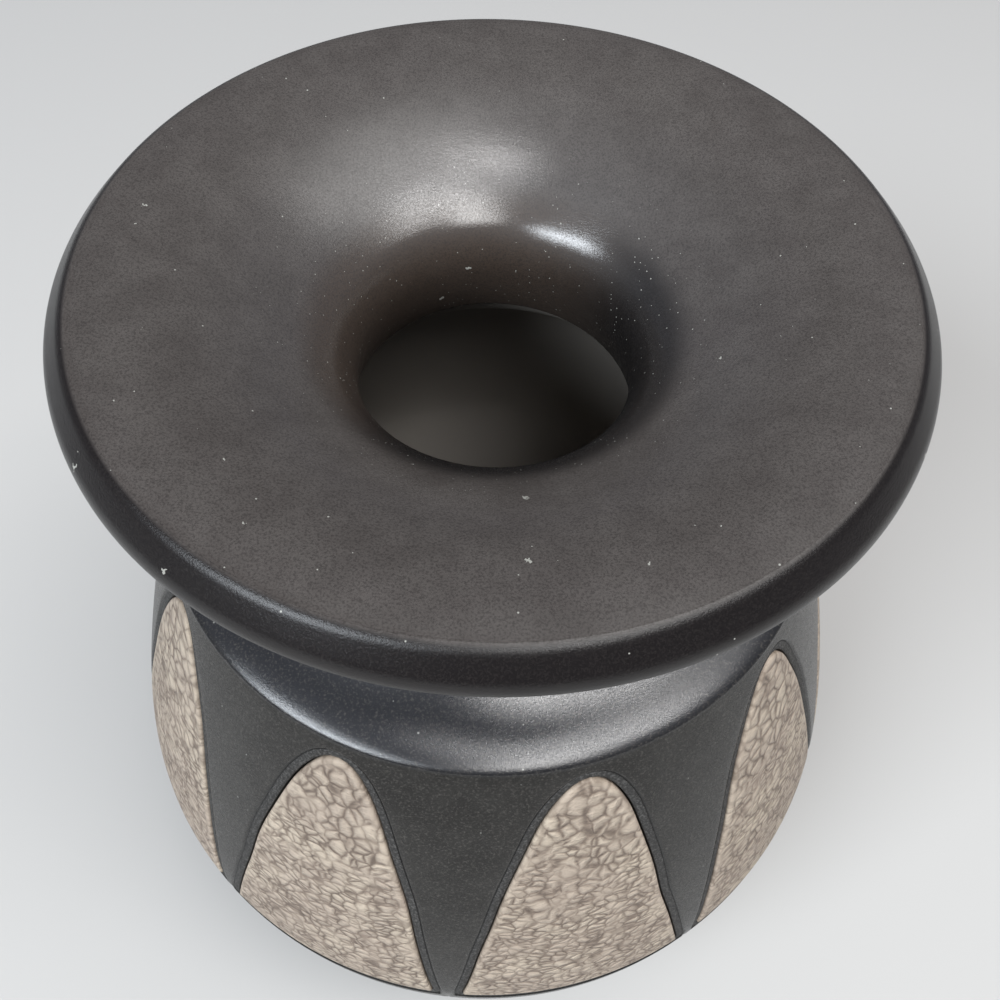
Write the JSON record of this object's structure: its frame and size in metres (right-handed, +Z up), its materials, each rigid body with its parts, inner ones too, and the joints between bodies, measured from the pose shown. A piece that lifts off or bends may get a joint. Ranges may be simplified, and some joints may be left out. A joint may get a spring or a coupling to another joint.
{
  "type": "bud vase",
  "caption": "Low pear-shaped bud vase in black smoke-fired clay, with a wide shallow flared rim, a funnel throat and a row of tall arched crackle panels around the wall.",
  "frame": {"origin": "on the vase's axis, at the level of the foot it stands on", "axes": "+Z up along the axis, -Y towards the viewer of the picture"},
  "size_m": [0.1124, 0.1124, 0.12],
  "materials": {
    "burnished_clay": "smoke-black burnished clay, satin to gloss",
    "burnished_rim": "smoke-black burnished clay with a warm brown cast, satin",
    "crackle": "tan clay with a fine brown smoke crackle, satin"
  },
  "bodies": {
    "root": {"vase_body": "burnished_clay", "flared_rim": "burnished_rim", "crackle_panel_1": "crackle", "crackle_panel_2": "crackle", "crackle_panel_3": "crackle", "crackle_panel_4": "crackle", "crackle_panel_5": "crackle", "crackle_panel_6": "crackle", "crackle_panel_7": "crackle", "crackle_panel_8": "crackle", "crackle_panel_9": "crackle", "crackle_panel_10": "crackle"}
  },
  "joints": []
}
